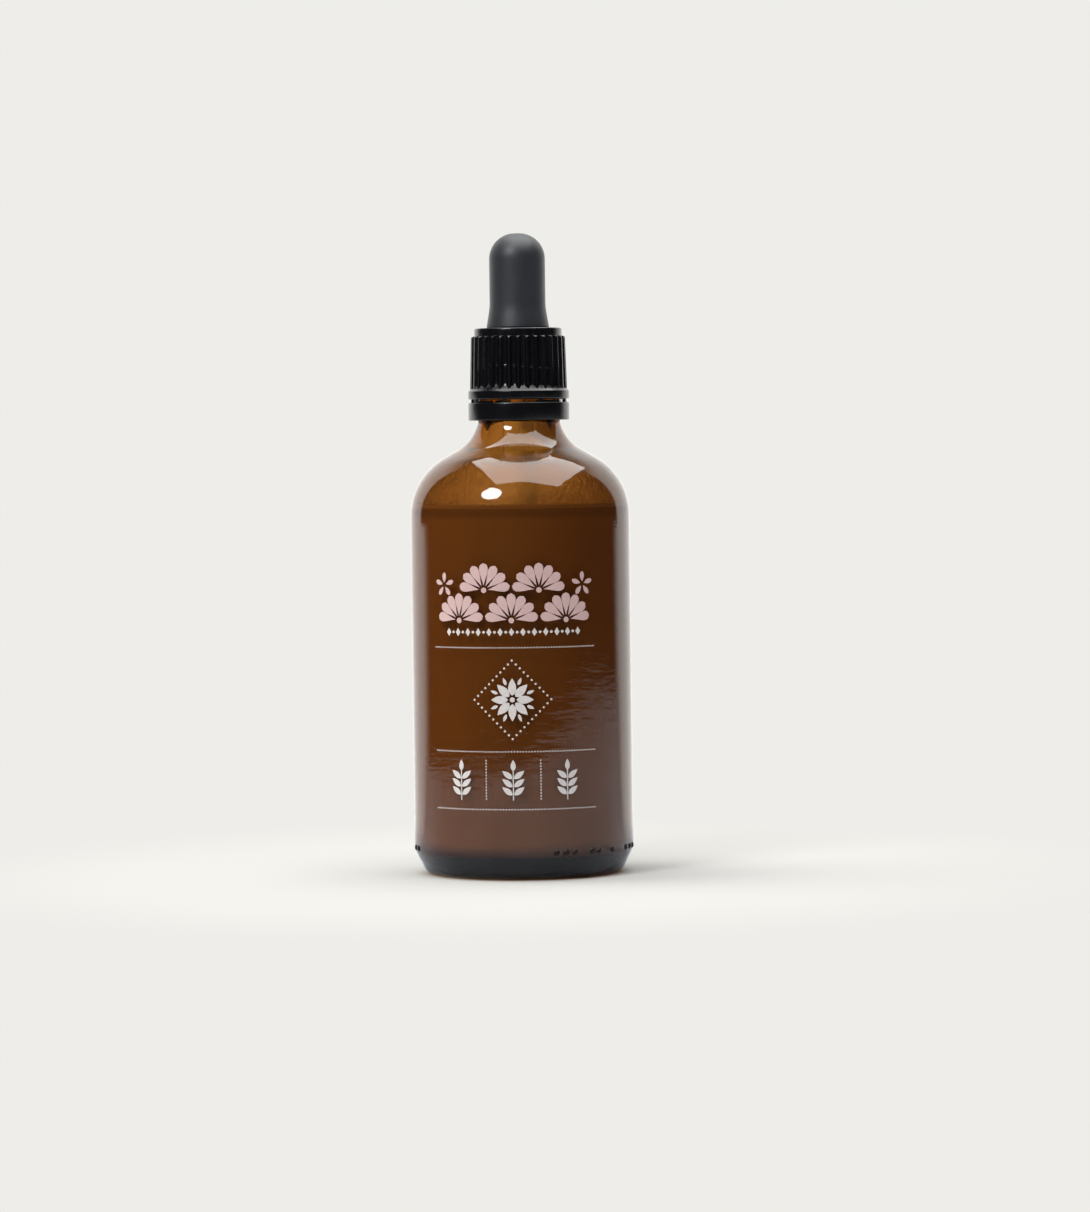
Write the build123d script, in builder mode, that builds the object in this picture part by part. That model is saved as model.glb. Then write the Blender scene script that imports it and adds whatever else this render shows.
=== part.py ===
from build123d import *
from math import cos, radians, tan
import os

# A round glass dropper bottle. It stands on Z = 0, its axis is +Z and the
# origin is the middle of its foot. Sizes are in millimetres. Profiles are
# drawn as (radius, height) and turned about the axis.

# Glass body
body_radius = 23.4
body_wall = 2.05
floor_height = 5.0
inner_heel_fillet = 2.4
heel_height = 5.2
heel_inset = 2.5
heel_fillet = 4.0
foot_fillet = 2.0
foot_ring_width = 3.6
push_up = 1.8

# Shoulder and neck of the glass
shoulder_slope = 29.05  # degrees above the horizontal
slope_straight = 3.2  # along the slope, between the shoulder's and the neck's curves
neck_radius = 8.55
neck_fillet = 9.0
neck_straight = 0.35

# Finish: the bead inside the tamper ring, and the part that takes the thread
rim_height = 112.4
finish_length = 14.1  # from the rim down to the underside of the bead
finish_radius = 7.7
bead_depth = 0.7
bead_thickness = 2.9
bead_slope = 0.35
thread_depth = 0.9  # room for the thread between the finish and the cap
mouth_radius = 5.8
rim_round = 0.45  # share of the mouth's wall that is rounded outside
mouth_slope = 0.3  # share of the mouth's wall that is sloped inside

# Screw cap
thread_clearance = 0.15
skirt_overlap = 0.4  # how far the skirt's end reaches down over the bead
skirt_clearance = 0.5  # between the bead's top and the recess in the skirt's end
cap_plate = 1.6
cap_rim_wall = 0.58
cap_edge = 0.3
flute_wall_top = 0.65
flute_wall_bottom = 0.9
flute_count = 32
flute_radius = 0.72
flute_depth_top = 0.6
flute_depth_bottom = 0.72
ridge_drop = 1.7  # from the cap's top down to the ends of the ridges
ridge_end_slope = 0.4
flange_thickness = 1.7
flange_edge = 0.2

# Tamper ring
ring_wall = 1.12
ring_slot = 0.7
ring_clearance = 0.4
ring_edge = 0.25
lip_overlap = 0.35  # how far the lip reaches in under the bead
lip_clearance = 0.3
lip_height = 1.7
bridge_count = 8
bridge_angle = -107.0  # degrees from +X to the first bridge
bridge_width = 1.1
bridge_depth = 0.7
bridge_taper = 14.0
land_count = 4
land_arc = 25.0  # degrees, beside every other bridge
land_clearance = 0.25  # between the lands and the cap's flange

# Rubber teat
teat_length = 20.15  # above the cap
teat_wall = 1.2
crown_flat = 0.5
chamber_clearance = 0.74  # around the pipette's collar
stem_wall = 2.6
stem_clearance = 0.3
foot_overlap = 0.3  # how far the teat's foot stands over the cap's hole
foot_taper = 4.5
foot_edge = 0.3
waist_fillet = 15.0
seal_thickness = 1.9
seal_clearance = 0.5
grip_length = 4.6
grip_clearance = 0.03

# Glass pipette
tube_radius = 3.5
tube_wall = 0.9
tube_rise = 2.5  # from the grip's end to the tube's top, inside the teat
collar_depth = 0.5
collar_length = 1.4
tip_clearance = 6.5  # from the bottle's floor to the tip
tip_length = 12.0
tip_neck_length = 5.0
tip_radius = 1.25
tip_neck_radius = 1.45
tip_bore_radius = 0.6
tip_neck_bore_radius = 0.65
tip_fillet = 8.0
fire_polish = 0.3

# Shoulder and neck: the slope lies between two curves that turn it upright
slope_rise = tan(radians(shoulder_slope))
slope_cosine = cos(radians(shoulder_slope))
turn_length = tan(radians(90 - shoulder_slope) / 2)  # of a curve's tangent, per radius
bead_height = rim_height - finish_length
bead_radius = neck_radius + bead_depth
bead_top = bead_height + bead_thickness
neck_corner = bead_height - neck_straight - neck_fillet * turn_length
slope_length = (body_radius - neck_radius) / slope_cosine
shoulder_fillet = (slope_length - slope_straight) / turn_length - neck_fillet
cavity_radius = body_radius - body_wall
foot_radius = body_radius - heel_inset
finish_wall = finish_radius - mouth_radius

# Closure: the cap is fitted round the thread, and the ring round the bead
cap_bore = finish_radius + thread_depth + thread_clearance
plate_underside = rim_height + seal_thickness
cap_top = plate_underside + cap_plate
cap_bottom = bead_top - skirt_overlap
recess_top = bead_top + skirt_clearance
cap_rim_radius = cap_bore + cap_rim_wall
ridge_top = cap_top - ridge_drop
ridge_top_radius = cap_bore + flute_wall_top + flute_depth_top
ridge_bottom_radius = cap_bore + flute_wall_bottom + flute_depth_bottom
ring_bore = bead_radius + ring_clearance
flange_radius = ring_bore + ring_wall
cone_rise = flange_radius - cap_bore - flute_wall_bottom
ring_top = cap_bottom - ring_slot
lip_top = bead_height - lip_clearance
lip_radius = bead_radius - lip_overlap
ring_bottom = lip_top - lip_height
land_width = ring_wall - ring_edge
land_radius = ring_bore + land_width / 2
land_start = bridge_angle - 360 / bridge_count

# Dropper: the teat is fitted round the pipette, and the cap's hole round the teat
grip_radius = tube_radius + grip_clearance
grip_top = rim_height + grip_length
chamber_radius = tube_radius + collar_depth + chamber_clearance
teat_radius = chamber_radius + teat_wall
teat_top = cap_top + teat_length
stem_radius = tube_radius + stem_wall
cap_hole_radius = stem_radius + stem_clearance
teat_foot_radius = cap_hole_radius + foot_overlap
seal_radius = cap_bore - seal_clearance
tip_height = floor_height + tip_clearance
tube_top = grip_top + tube_rise


def slope_height(radius, drop=0.0):
    """Height of the shoulder's slope at a radius, or of a line below it."""
    return neck_corner - (radius - neck_radius) * slope_rise - drop


# Bottle: the outside is turned as one solid, then the cavity is cut out
with BuildPart() as bottle:
    with BuildSketch(Plane.XZ):
        with BuildLine():
            outside = FilletPolyline(
                (foot_radius - foot_ring_width, 0),
                (foot_radius, 0),
                (body_radius, heel_height),
                (body_radius, slope_height(body_radius)),
                (neck_radius, neck_corner),
                (neck_radius, bead_height),
                (bead_radius, bead_height + bead_slope),
                (bead_radius, bead_top - bead_slope),
                (finish_radius, bead_top + bead_slope),
                (finish_radius, rim_height),
                (0, rim_height),
                radius=[
                    foot_fillet,
                    heel_fillet,
                    shoulder_fillet,
                    neck_fillet,
                    0,
                    0,
                    0,
                    0,
                    rim_round * finish_wall,
                ],
            )
            Line((0, rim_height), (0, push_up))
            TangentArc((0, push_up), outside @ 0, tangent=(1, 0))
        make_face()
    revolve(axis=Axis.Z)
    with BuildSketch(Plane.XZ):
        with BuildLine():
            FilletPolyline(
                (0, floor_height),
                (cavity_radius, floor_height),
                (cavity_radius, slope_height(cavity_radius, body_wall / slope_cosine)),
                (mouth_radius, slope_height(mouth_radius, body_wall / slope_cosine)),
                (mouth_radius, rim_height),
                radius=[
                    inner_heel_fillet,
                    shoulder_fillet - body_wall,
                    neck_fillet + body_wall,
                ],
            )
            Line((mouth_radius, rim_height), (0, rim_height))
            Line((0, rim_height), (0, floor_height))
        make_face()
    revolve(axis=Axis.Z, mode=Mode.SUBTRACT)
    mouth_edge = bottle.edges().filter_by(GeomType.CIRCLE).filter_by_position(
        Axis.Z, rim_height, rim_height
    ).sort_by(SortBy.RADIUS)[0]
    chamfer(mouth_edge, mouth_slope * finish_wall)

# One flute's cutter: a round rod that leans with the cap's draft
flute_foot = cap_bore + flute_wall_bottom + flute_radius
flute_lean = Vector(flute_wall_top - flute_wall_bottom, 0, ridge_top - cap_bottom)
with BuildPart() as flute:
    with BuildSketch(Plane(origin=(flute_foot, 0, cap_bottom), z_dir=flute_lean)):
        Circle(flute_radius)
    extrude(amount=flute_lean.length + ridge_drop, both=True)

# Screw cap: a fluted skirt under a plate with a hole, the flange at its foot, and the
# recess in the foot that goes over the bead
with BuildPart() as screw_cap:
    with BuildSketch(Plane.XZ):
        with BuildLine():
            Polyline(
                (cap_bore, cap_bottom),
                (ridge_bottom_radius, cap_bottom),
                (ridge_top_radius, ridge_top - ridge_end_slope),
                (ridge_top_radius - ridge_end_slope, ridge_top),
                (cap_rim_radius, ridge_top),
                (cap_rim_radius, cap_top - cap_edge),
                (cap_rim_radius - cap_edge, cap_top),
                (cap_hole_radius, cap_top),
                (cap_hole_radius, plate_underside),
                (cap_bore, plate_underside),
                close=True,
            )
        make_face()
    revolve(axis=Axis.Z)
    with PolarLocations(0, flute_count):
        add(flute.part, mode=Mode.SUBTRACT)
    with BuildSketch(Plane.XZ):
        with BuildLine():
            Polyline(
                (cap_bore, cap_bottom),
                (flange_radius - flange_edge, cap_bottom),
                (flange_radius, cap_bottom + flange_edge),
                (flange_radius, cap_bottom + flange_thickness),
                (flange_radius - cone_rise, cap_bottom + flange_thickness + cone_rise),
                (cap_bore, cap_bottom + flange_thickness + cone_rise),
                close=True,
            )
        make_face()
    revolve(axis=Axis.Z)
    with BuildSketch(Plane.XZ):
        with BuildLine():
            Polyline(
                (0, cap_bottom),
                (ring_bore, cap_bottom),
                (ring_bore, bead_top),
                (cap_bore, recess_top),
                (0, recess_top),
                close=True,
            )
        make_face()
    revolve(axis=Axis.Z, mode=Mode.SUBTRACT)

# Tamper ring: a band with a lip under the glass bead, and on top of it thin bridges
# with broad lands beside every other one
with BuildPart() as tamper_ring:
    with BuildSketch(Plane.XZ):
        with BuildLine():
            Polyline(
                (ring_bore, ring_top),
                (ring_bore, lip_top + lip_overlap),
                (lip_radius, lip_top),
                (lip_radius, ring_bottom + lip_overlap),
                (ring_bore, ring_bottom),
                (flange_radius - ring_edge, ring_bottom),
                (flange_radius, ring_bottom + ring_edge),
                (flange_radius, ring_top - ring_edge),
                (flange_radius - ring_edge, ring_top),
                close=True,
            )
        make_face()
    revolve(axis=Axis.Z)
    with BuildSketch(Plane.XY.offset(ring_top)):
        with PolarLocations((ring_bore + flange_radius) / 2, bridge_count, bridge_angle):
            Rectangle(bridge_depth, bridge_width)
    extrude(amount=ring_slot, taper=bridge_taper)
    with BuildSketch(Plane.XY.offset(ring_top)):
        with BuildLine(mode=Mode.PRIVATE):
            land = CenterArc((0, 0), land_radius, land_start, land_arc)
        with PolarLocations(0, land_count):
            SlotArc(land, land_width)
    extrude(amount=ring_slot - land_clearance)

# Bulb: the teat above the cap, its stem through the cap and its sealing flange
with BuildPart() as bulb:
    with BuildSketch(Plane.XZ):
        with BuildLine():
            teat = FilletPolyline(
                (0, rim_height),
                (seal_radius, rim_height),
                (seal_radius, plate_underside),
                (stem_radius, plate_underside),
                (stem_radius, cap_top),
                (teat_foot_radius - foot_edge, cap_top),
                (teat_foot_radius, cap_top + foot_edge),
                (teat_radius, cap_top + foot_taper),
                (teat_radius, teat_top),
                (0, teat_top),
                radius=[0, 0, 0, 0, 0, 0, waist_fillet, teat_radius - crown_flat],
            )
            Line(teat @ 1, teat @ 0)
        make_face()
    revolve(axis=Axis.Z)
    with BuildSketch(Plane.XZ):
        with BuildLine():
            chamber = FilletPolyline(
                (0, rim_height),
                (grip_radius, rim_height),
                (grip_radius, grip_top),
                (chamber_radius, grip_top),
                (chamber_radius, teat_top - teat_wall),
                (0, teat_top - teat_wall),
                radius=[0, 0, 0, chamber_radius - crown_flat],
            )
            Line(chamber @ 1, chamber @ 0)
        make_face()
    revolve(axis=Axis.Z, mode=Mode.SUBTRACT)

# Pipette: a glass tube drawn to a tip, with a collar above the teat's grip
with BuildPart() as pipette:
    with BuildSketch(Plane.XZ):
        with BuildLine():
            tube = FilletPolyline(
                (0, tip_height),
                (tip_radius - fire_polish, tip_height),
                (tip_radius, tip_height + fire_polish),
                (tip_neck_radius, tip_height + tip_neck_length),
                (tube_radius, tip_height + tip_length),
                (tube_radius, grip_top),
                (tube_radius + collar_depth, grip_top + collar_depth),
                (tube_radius + collar_depth, grip_top + collar_length - collar_depth),
                (tube_radius, grip_top + collar_length),
                (tube_radius, tube_top - fire_polish),
                (tube_radius - fire_polish, tube_top),
                (0, tube_top),
                radius=[0, 0, tip_fillet, tip_fillet, 0, 0, 0, 0, 0, 0],
            )
            Line(tube @ 1, tube @ 0)
        make_face()
    revolve(axis=Axis.Z)
    with BuildSketch(Plane.XZ):
        with BuildLine():
            Polyline(
                (0, tip_height),
                (tip_bore_radius, tip_height),
                (tip_neck_bore_radius, tip_height + tip_neck_length),
                (tube_radius - tube_wall, tip_height + tip_length),
                (tube_radius - tube_wall, tube_top),
                (0, tube_top),
                close=True,
            )
        make_face()
    revolve(axis=Axis.Z, mode=Mode.SUBTRACT)

os.makedirs("parts", exist_ok=True)

bottle.part.label = "bottle"
export_step(bottle.part, "parts/bottle.step")
screw_cap.part.label = "screw_cap"
export_step(screw_cap.part, "parts/screw_cap.step")
tamper_ring.part.label = "tamper_ring"
export_step(tamper_ring.part, "parts/tamper_ring.step")
bulb.part.label = "bulb"
export_step(bulb.part, "parts/bulb.step")
pipette.part.label = "pipette"
export_step(pipette.part, "parts/pipette.step")
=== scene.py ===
from math import cos, log, pi, radians, sin, tan

import bmesh
import bpy
import numpy as np
from mathutils import Matrix, Vector


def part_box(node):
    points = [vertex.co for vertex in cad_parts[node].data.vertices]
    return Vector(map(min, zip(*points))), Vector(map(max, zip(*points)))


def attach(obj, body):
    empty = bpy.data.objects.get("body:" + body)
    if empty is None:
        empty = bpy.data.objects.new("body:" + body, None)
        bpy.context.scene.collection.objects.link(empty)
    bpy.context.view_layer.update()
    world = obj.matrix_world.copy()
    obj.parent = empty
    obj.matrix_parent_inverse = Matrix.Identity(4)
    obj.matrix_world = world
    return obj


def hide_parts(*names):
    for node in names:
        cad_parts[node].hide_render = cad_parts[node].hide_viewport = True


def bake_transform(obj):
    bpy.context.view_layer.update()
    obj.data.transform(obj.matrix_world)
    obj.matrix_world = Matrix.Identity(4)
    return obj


# The looks of a round amber dropper bottle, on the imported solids. Lengths are
# in millimetres up to the point where a mesh is made, angles are in degrees,
# and lamps and camera are placed in metres. The bottle's front looks to -Y.

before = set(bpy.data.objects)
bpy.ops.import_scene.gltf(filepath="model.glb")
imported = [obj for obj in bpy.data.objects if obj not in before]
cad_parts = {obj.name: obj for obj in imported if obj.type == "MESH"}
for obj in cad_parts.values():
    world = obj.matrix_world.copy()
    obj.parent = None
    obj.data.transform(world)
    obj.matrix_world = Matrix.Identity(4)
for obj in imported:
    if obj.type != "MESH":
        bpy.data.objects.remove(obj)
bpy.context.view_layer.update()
MM = 0.001


def reach(node):
    """Radius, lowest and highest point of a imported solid, in millimetres."""
    low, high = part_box(node)
    return high.x / MM, low.z / MM, high.z / MM


body_radius, _, rim_height = reach("bottle")
flange_radius, cap_bottom, cap_top = reach("screw_cap")
ring_radius, ring_bottom, _ = reach("tamper_ring")
_, seal_bottom, teat_top = reach("bulb")
_, tip_height, tube_top = reach("pipette")

# Glass bottle
ink_depth = 0.04
glass_radius = body_radius - ink_depth
glass_wall = 2.01
glass_facets = 360
floor_height = 5.0
floor_dome = 0.7
inner_heel_fillet = 2.4
heel_inset = 2.5
heel_height = 5.2
heel_fillet = 4.0
foot_radius = glass_radius - heel_inset
foot_fillet = 2.0
push_up = 1.8
rib_count = 90
rib_depth = 0.22
rib_inset = 1.9
rib_half_length = 0.7
shoulder_slope = 29.05
slope_straight = 3.2
neck_radius = 8.55
neck_fillet = 9.0
neck_straight = 0.35
bead_radius = 9.25
bead_bottom = rim_height - 14.1
bead_top = bead_bottom + 2.9
finish_radius = 7.7
mouth_radius = 5.8
rim_middle = mouth_radius + 0.62

# Thread on the glass, and the one inside the cap
thread_pitch = 3.0
thread_turns = 1.6
thread_bottom = rim_height - 8.2
thread_crest = 8.55
thread_half_width = 0.95
thread_flank = 0.5
thread_run_out = 0.12
cap_thread_turns = 1.5
cap_thread_bottom = cap_bottom + 3.2
cap_thread_sink = 0.3
cap_thread_radius = 0.55

# Shoulder: a slope between two curves
slope_rise = tan(radians(shoulder_slope))
slope_cosine = cos(radians(shoulder_slope))
turn_length = tan(radians(90 - shoulder_slope) / 2)
neck_corner = bead_bottom - neck_straight - neck_fillet * turn_length
shoulder_corner = neck_corner - (glass_radius - neck_radius) * slope_rise
shoulder_run = (glass_radius - neck_radius) / slope_cosine
shoulder_fillet = (shoulder_run - slope_straight) / turn_length - neck_fillet
shoulder_bottom = shoulder_corner - shoulder_fillet * turn_length

# Mould dots on the heel. Each group has a number of dots, the first one's angle and a step.
dot_groups = ((3, 17.1, 5.05), (2, 37.6, 5.0), (1, 52.9, 0.0), (3, 67.3, 6.2), (2, -79.5, 6.0))
dot_height = 5.75
dot_radius = 0.66
dot_rise = 0.3
dot_sink = 0.3

# Contents. Each step of the meniscus has a distance from the wall and a rise.
liquid_level = 77.6
liquid_overlap = 0.06
meniscus = ((0, 0.9), (0.35, 0.45), (1.0, 0.14), (2.0, 0))
top_band_depth = 2.6

# Screw cap
cap_bore = 8.75
cap_rim_radius = 9.33
cap_hole_radius = 6.4
cap_plate = 1.6
plate_underside = cap_top - cap_plate
flute_count = 32
flute_radius = 0.72
flute_wall_bottom = 0.9
flute_lean = 0.25
ridge_end = cap_top - 1.7
ridge_top_radius = 10.0
ridge_bottom_radius = 10.37
ridge_softness = 0.14
flange_thickness = 1.7
skirt_clearance = 0.5

# Tamper ring
ring_slot = 0.7
ring_top = cap_bottom - ring_slot
ring_wall = 1.12
ring_bore = ring_radius - ring_wall
ring_edge = 0.25
lip_height = 1.7
lip_overlap = 0.35
bridge_count = 8
bridge_angle = -107.0
bridge_width = 1.1
bridge_depth = 0.7
bridge_narrowing = 0.3
bridge_sink = 0.25
land_count = 4
land_arc = 25.0
land_end = 2.4
land_sink = 0.2
land_clearance = 0.25

# Dropper
seal_thickness = 1.9
seal_clearance = 0.5
grip_radius = 3.53
grip_top = rim_height + 4.6
stem_radius = 6.1
teat_foot_radius = 6.7
teat_foot_height = 4.5
teat_radius = 5.94
teat_wall = 1.2
waist_fillet = 15.0
crown_fillet = 5.44
chamber_fillet = 4.2
tube_radius = 3.5
tube_wall = 0.9
collar_depth = 0.5
collar_length = 1.4
tip_neck = tip_height + 5.0
tip_shoulder = tip_height + 12.0
tip_radius = 1.25
tip_neck_radius = 1.45
tip_bore_radius = 0.6
tip_neck_bore_radius = 0.65
tip_fillet = 8.0

# Printed panel, along the glass and above the foot
panel_turn = -5.2
panel_strip = 0.8
ink_inset = 0.006
ink_sink = 0.01
rule_half_width = 18.3
rule_heights = (48.9, 27.15, 15.05)
dot_pitch = 0.62
shell_rows = ((54.6, (-11.7, 0, 11.7)), (60.9, (-5.85, 5.85)))
blossom_height = 62.0
blossom_places = (-15.6, 15.6)
sprig_places = (-11.6, 0, 11.6)
divider_places = (-5.8, 5.8)
frame_reach = 8.2
frame_dots = 11

# Camera
camera_distance = 1.0
camera_height = 0.095
camera_lens = 139.3
sensor_height = 36.0
look_down = 2.197
look_right = 0.29
camera_roll = 0.7

# Light. The surroundings are told apart by the ray that meets them.
backdrop = (0.855, 0.847, 0.815, 1)
dark_room = (0.035, 0.036, 0.04, 1)
bright_wall = (1.42, 1.4, 1.36, 1)
left_through_glass = (1.15, 1.13, 1.09, 1)
right_through_glass = (0.36, 0.35, 0.34, 1)
room_ambient = (0.34, 0.34, 0.34, 1)
left_ambient = (5.0, 5.0, 4.7, 1)
floor_in_glass = (0.33, 0.345, 0.37, 1)
floor_size = 6.0
lamp_aim = (0, 0, 0.09)
key_way = (-0.458, -0.653, 0.6)
key_distance = 0.8
key_size = 0.28
key_radiance = 23.0
overhead_place = (0.12, 0.04, 0.8)
overhead_size = (0.88, 0.92)
overhead_radiance = 5.0

# Colours of the pieces
pink = (0.5, 0.345, 0.325, 1)
thin_pink = (0.44, 0.29, 0.272, 1)
white = (0.56, 0.53, 0.51, 1)
thin_white = (0.46, 0.42, 0.39, 1)
absorbed_per_metre = (200, 360, 690)
absorption_density = 900.0


# Meshes

def outline(*corners, steps=8):
    """A profile through (radius, height, rounding) corners, the round ones drawn as arcs."""
    line = []
    for i, (r, z, rounding) in enumerate(corners):
        here = Vector((r, z))
        if rounding == 0:
            line.append(here)
            continue
        back = (Vector(corners[i - 1][:2]) - here).normalized()
        ahead = (Vector(corners[i + 1][:2]) - here).normalized()
        half = back.angle(ahead) / 2
        sweep = pi - 2 * half
        middle = here + (back + ahead).normalized() * (rounding / sin(half))
        start = here + back * (rounding / tan(half)) - middle
        end = here + ahead * (rounding / tan(half)) - middle
        for k in range(steps + 1):
            share = k / steps
            turn = start * sin((1 - share) * sweep) + end * sin(share * sweep)
            line.append(middle + turn / sin(sweep))
    return line


def divided(line, longest, low=None, high=None):
    """The profile with points added, so that no run between two heights is longer than a length."""
    result = [line[0]]
    for a, b in zip(line, line[1:]):
        pieces = 1
        if low is None or (low <= a.y <= high and low <= b.y <= high):
            pieces = max(1, round((b - a).length / longest))
        result += [a.lerp(b, (k + 1) / pieces) for k in range(pieces)]
    return result


def turned(name, line, count, shape=None, loop=False):
    """A closed piece turned about Z from a profile. The function shape gets angles in
    degrees, radii and heights, and gives new radii and heights."""
    around = np.linspace(0, 360, count, endpoint=False)[None, :]
    radius = np.repeat(np.array([[p.x] for p in line]), count, axis=1)
    height = np.repeat(np.array([[p.y] for p in line]), count, axis=1)
    if shape is not None:
        radius, height = shape(around, radius, height)
    angle = np.radians(around)
    points = np.stack([radius * np.sin(angle), -radius * np.cos(angle), height], axis=-1)
    rows = len(line)
    index = np.arange(rows * count).reshape(rows, count)
    if loop:
        index = np.concatenate([index, index[:1]])
    beside = np.roll(index, -1, axis=1)
    faces = np.stack([index[:-1], beside[:-1], beside[1:], index[1:]], axis=-1)
    return solid(name, points.reshape(-1, 3) * MM, faces.reshape(-1, 4))


def solid(name, points, faces, crease=35):
    """A mesh object from points and faces: doubles merged, faces outward, smooth between creases."""
    work = bmesh.new()
    made = [work.verts.new(p) for p in points]
    for face in faces:
        work.faces.new([made[i] for i in face])
    bmesh.ops.remove_doubles(work, verts=work.verts, dist=1e-7)
    bmesh.ops.dissolve_degenerate(work, edges=work.edges, dist=1e-8)
    bmesh.ops.recalc_face_normals(work, faces=work.faces)
    mesh = bpy.data.meshes.new(name)
    work.to_mesh(mesh)
    work.free()
    return shown(name, mesh, crease)


def shown(name, mesh, crease=35):
    """Links a finished mesh as an object, smooth where its faces meet at less than the crease."""
    mesh.name = name
    for face in mesh.polygons:
        face.use_smooth = True
    mesh.set_sharp_from_angle(angle=radians(crease))
    made = bpy.data.objects.new(name, mesh)
    bpy.context.scene.collection.objects.link(made)
    return made


def joined(name, parts, crease=35):
    """One object from several, which it takes the place of."""
    work = bmesh.new()
    for part in parts:
        work.from_mesh(part.data)
    mesh = bpy.data.meshes.new(name)
    work.to_mesh(mesh)
    work.free()
    for part in parts:
        bpy.data.objects.remove(part)
    return shown(name, mesh, crease)


# Nodes

class Nodes:
    """Adds nodes to a tree."""

    def __init__(self, tree):
        self.tree = tree

    def add(self, kind, settings=None, inputs=None):
        """A node of a type, with its settings made first and then its sockets filled or linked."""
        node = self.tree.nodes.new(kind)
        for name, value in (settings or {}).items():
            setattr(node, name, value)
        for name, value in (inputs or {}).items():
            source = value.socket if isinstance(value, Value) else value
            if isinstance(source, bpy.types.NodeSocket):
                self.tree.links.new(source, node.inputs[name])
            else:
                node.inputs[name].default_value = source
        return node

    def value(self, node, socket=0):
        """A node's output as a value to calculate with."""
        return Value(self, node.outputs[socket])

    def place(self):
        """A point on the piece as a vector in millimetres."""
        where = self.add("ShaderNodeTexCoord").outputs["Object"]
        inputs = {0: where, "Scale": 1 / MM}
        return self.add("ShaderNodeVectorMath", {"operation": "SCALE"}, inputs).outputs[0]

    def parts(self, vector):
        """X, Y and Z of a vector as values."""
        apart = self.add("ShaderNodeSeparateXYZ", None, {0: vector})
        return [self.value(apart, i) for i in range(3)]

    def noise(self, vector, scale, detail=2.0, roughness=0.5):
        """Soft noise from 0 to 1 with so many features in a millimetre."""
        inputs = {"Vector": vector, "Scale": scale, "Detail": detail, "Roughness": roughness}
        return self.value(self.add("ShaderNodeTexNoise", None, inputs), "Fac")

    def stretched(self, vector, x, y, z):
        """A vector whose parts are multiplied by three factors."""
        inputs = {0: vector, 1: (x, y, z)}
        return self.add("ShaderNodeVectorMath", {"operation": "MULTIPLY"}, inputs).outputs[0]

    def blend(self, share, first, second):
        """A colour between two colours, or their sockets."""
        inputs = {0: share, 6: first, 7: second}
        return self.add("ShaderNodeMix", {"data_type": "RGBA"}, inputs).outputs[2]

    def bump(self, height, distance, strength=1.0):
        """A normal from a height, with the height's full range as a distance in millimetres."""
        inputs = {"Height": height, "Distance": distance * MM, "Strength": strength}
        return self.add("ShaderNodeBump", None, inputs).outputs[0]


def group(name, **kinds):
    """A geometry tree's node maker and its input node, with an input for each name and kind."""
    tree = bpy.data.node_groups.new(name, "GeometryNodeTree")
    for socket, kind in kinds.items():
        tree.interface.new_socket(socket, in_out="INPUT", socket_type="NodeSocket" + kind)
    tree.interface.new_socket("Geometry", in_out="OUTPUT", socket_type="NodeSocketGeometry")
    nodes = Nodes(tree)
    return nodes, nodes.add("NodeGroupInput")


def grown(nodes, last, sizes, mesh=None):
    """Ends a geometry tree after its last node, and gives the plain mesh that it makes."""
    real = nodes.add("GeometryNodeRealizeInstances", None, {"Geometry": last.outputs[0]})
    painted = nodes.add("GeometryNodeSetMaterial", None, {"Geometry": real.outputs[0]})
    nodes.tree.links.new(painted.outputs[0], nodes.add("NodeGroupOutput").inputs[0])
    carrier = bpy.data.objects.new("carrier", mesh or bpy.data.meshes.new("carrier"))
    bpy.context.scene.collection.objects.link(carrier)
    modifier = carrier.modifiers.new(nodes.tree.name, "NODES")
    modifier.node_group = nodes.tree
    for item in nodes.tree.interface.items_tree:
        if item.in_out == "INPUT" and item.name in sizes:
            modifier[item.identifier] = sizes[item.name]
    carrier.update_tag()
    graph = bpy.context.evaluated_depsgraph_get()
    made = bpy.data.meshes.new_from_object(carrier.evaluated_get(graph))
    carrier.modifiers.clear()
    bpy.data.objects.remove(carrier)
    made.materials.clear()
    return made


class Value:
    """A number in a node tree. Sums and products of it add Math nodes."""

    def __init__(self, nodes, socket):
        self.nodes = nodes
        self.socket = socket

    def math(self, operation, first, second=0.0):
        """The result of a Math node."""
        settings = {"operation": operation}
        node = self.nodes.add("ShaderNodeMath", settings, {0: first, 1: second})
        return self.nodes.value(node)

    def __add__(self, other):
        return self.math("ADD", self, other)

    def __sub__(self, other):
        return self.math("SUBTRACT", self, other)

    def __rsub__(self, other):
        return self.math("SUBTRACT", other, self)

    def __mul__(self, other):
        return self.math("MULTIPLY", self, other)

    def __truediv__(self, other):
        return self.math("DIVIDE", self, other)

    def root(self):
        """The square root."""
        return self.math("SQRT", self)

    def least(self, other):
        """The lower of two."""
        return self.math("MINIMUM", self, other)

    def most(self, other):
        """The higher of two."""
        return self.math("MAXIMUM", self, other)

    def rise(self, start, end):
        """0 before start and 1 after end, with a smooth step between them."""
        settings = {"interpolation_type": "SMOOTHSTEP"}
        inputs = {"Value": self, "From Min": start, "From Max": end}
        return self.nodes.value(self.nodes.add("ShaderNodeMapRange", settings, inputs))


# Materials

def surface(name, **sockets):
    """A material with one Principled shader whose plain sockets are set."""
    material = bpy.data.materials.new(name)
    material.use_nodes = True
    nodes = Nodes(material.node_tree)
    shader = material.node_tree.nodes["Principled BSDF"]
    for socket, value in sockets.items():
        shader.inputs[socket.replace("_", " ")].default_value = value
    return material, nodes, shader


def link(nodes, value, shader, socket):
    """Feeds a value or socket into a shader's socket."""
    source = value.socket if isinstance(value, Value) else value
    nodes.tree.links.new(source, shader.inputs[socket])


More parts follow.
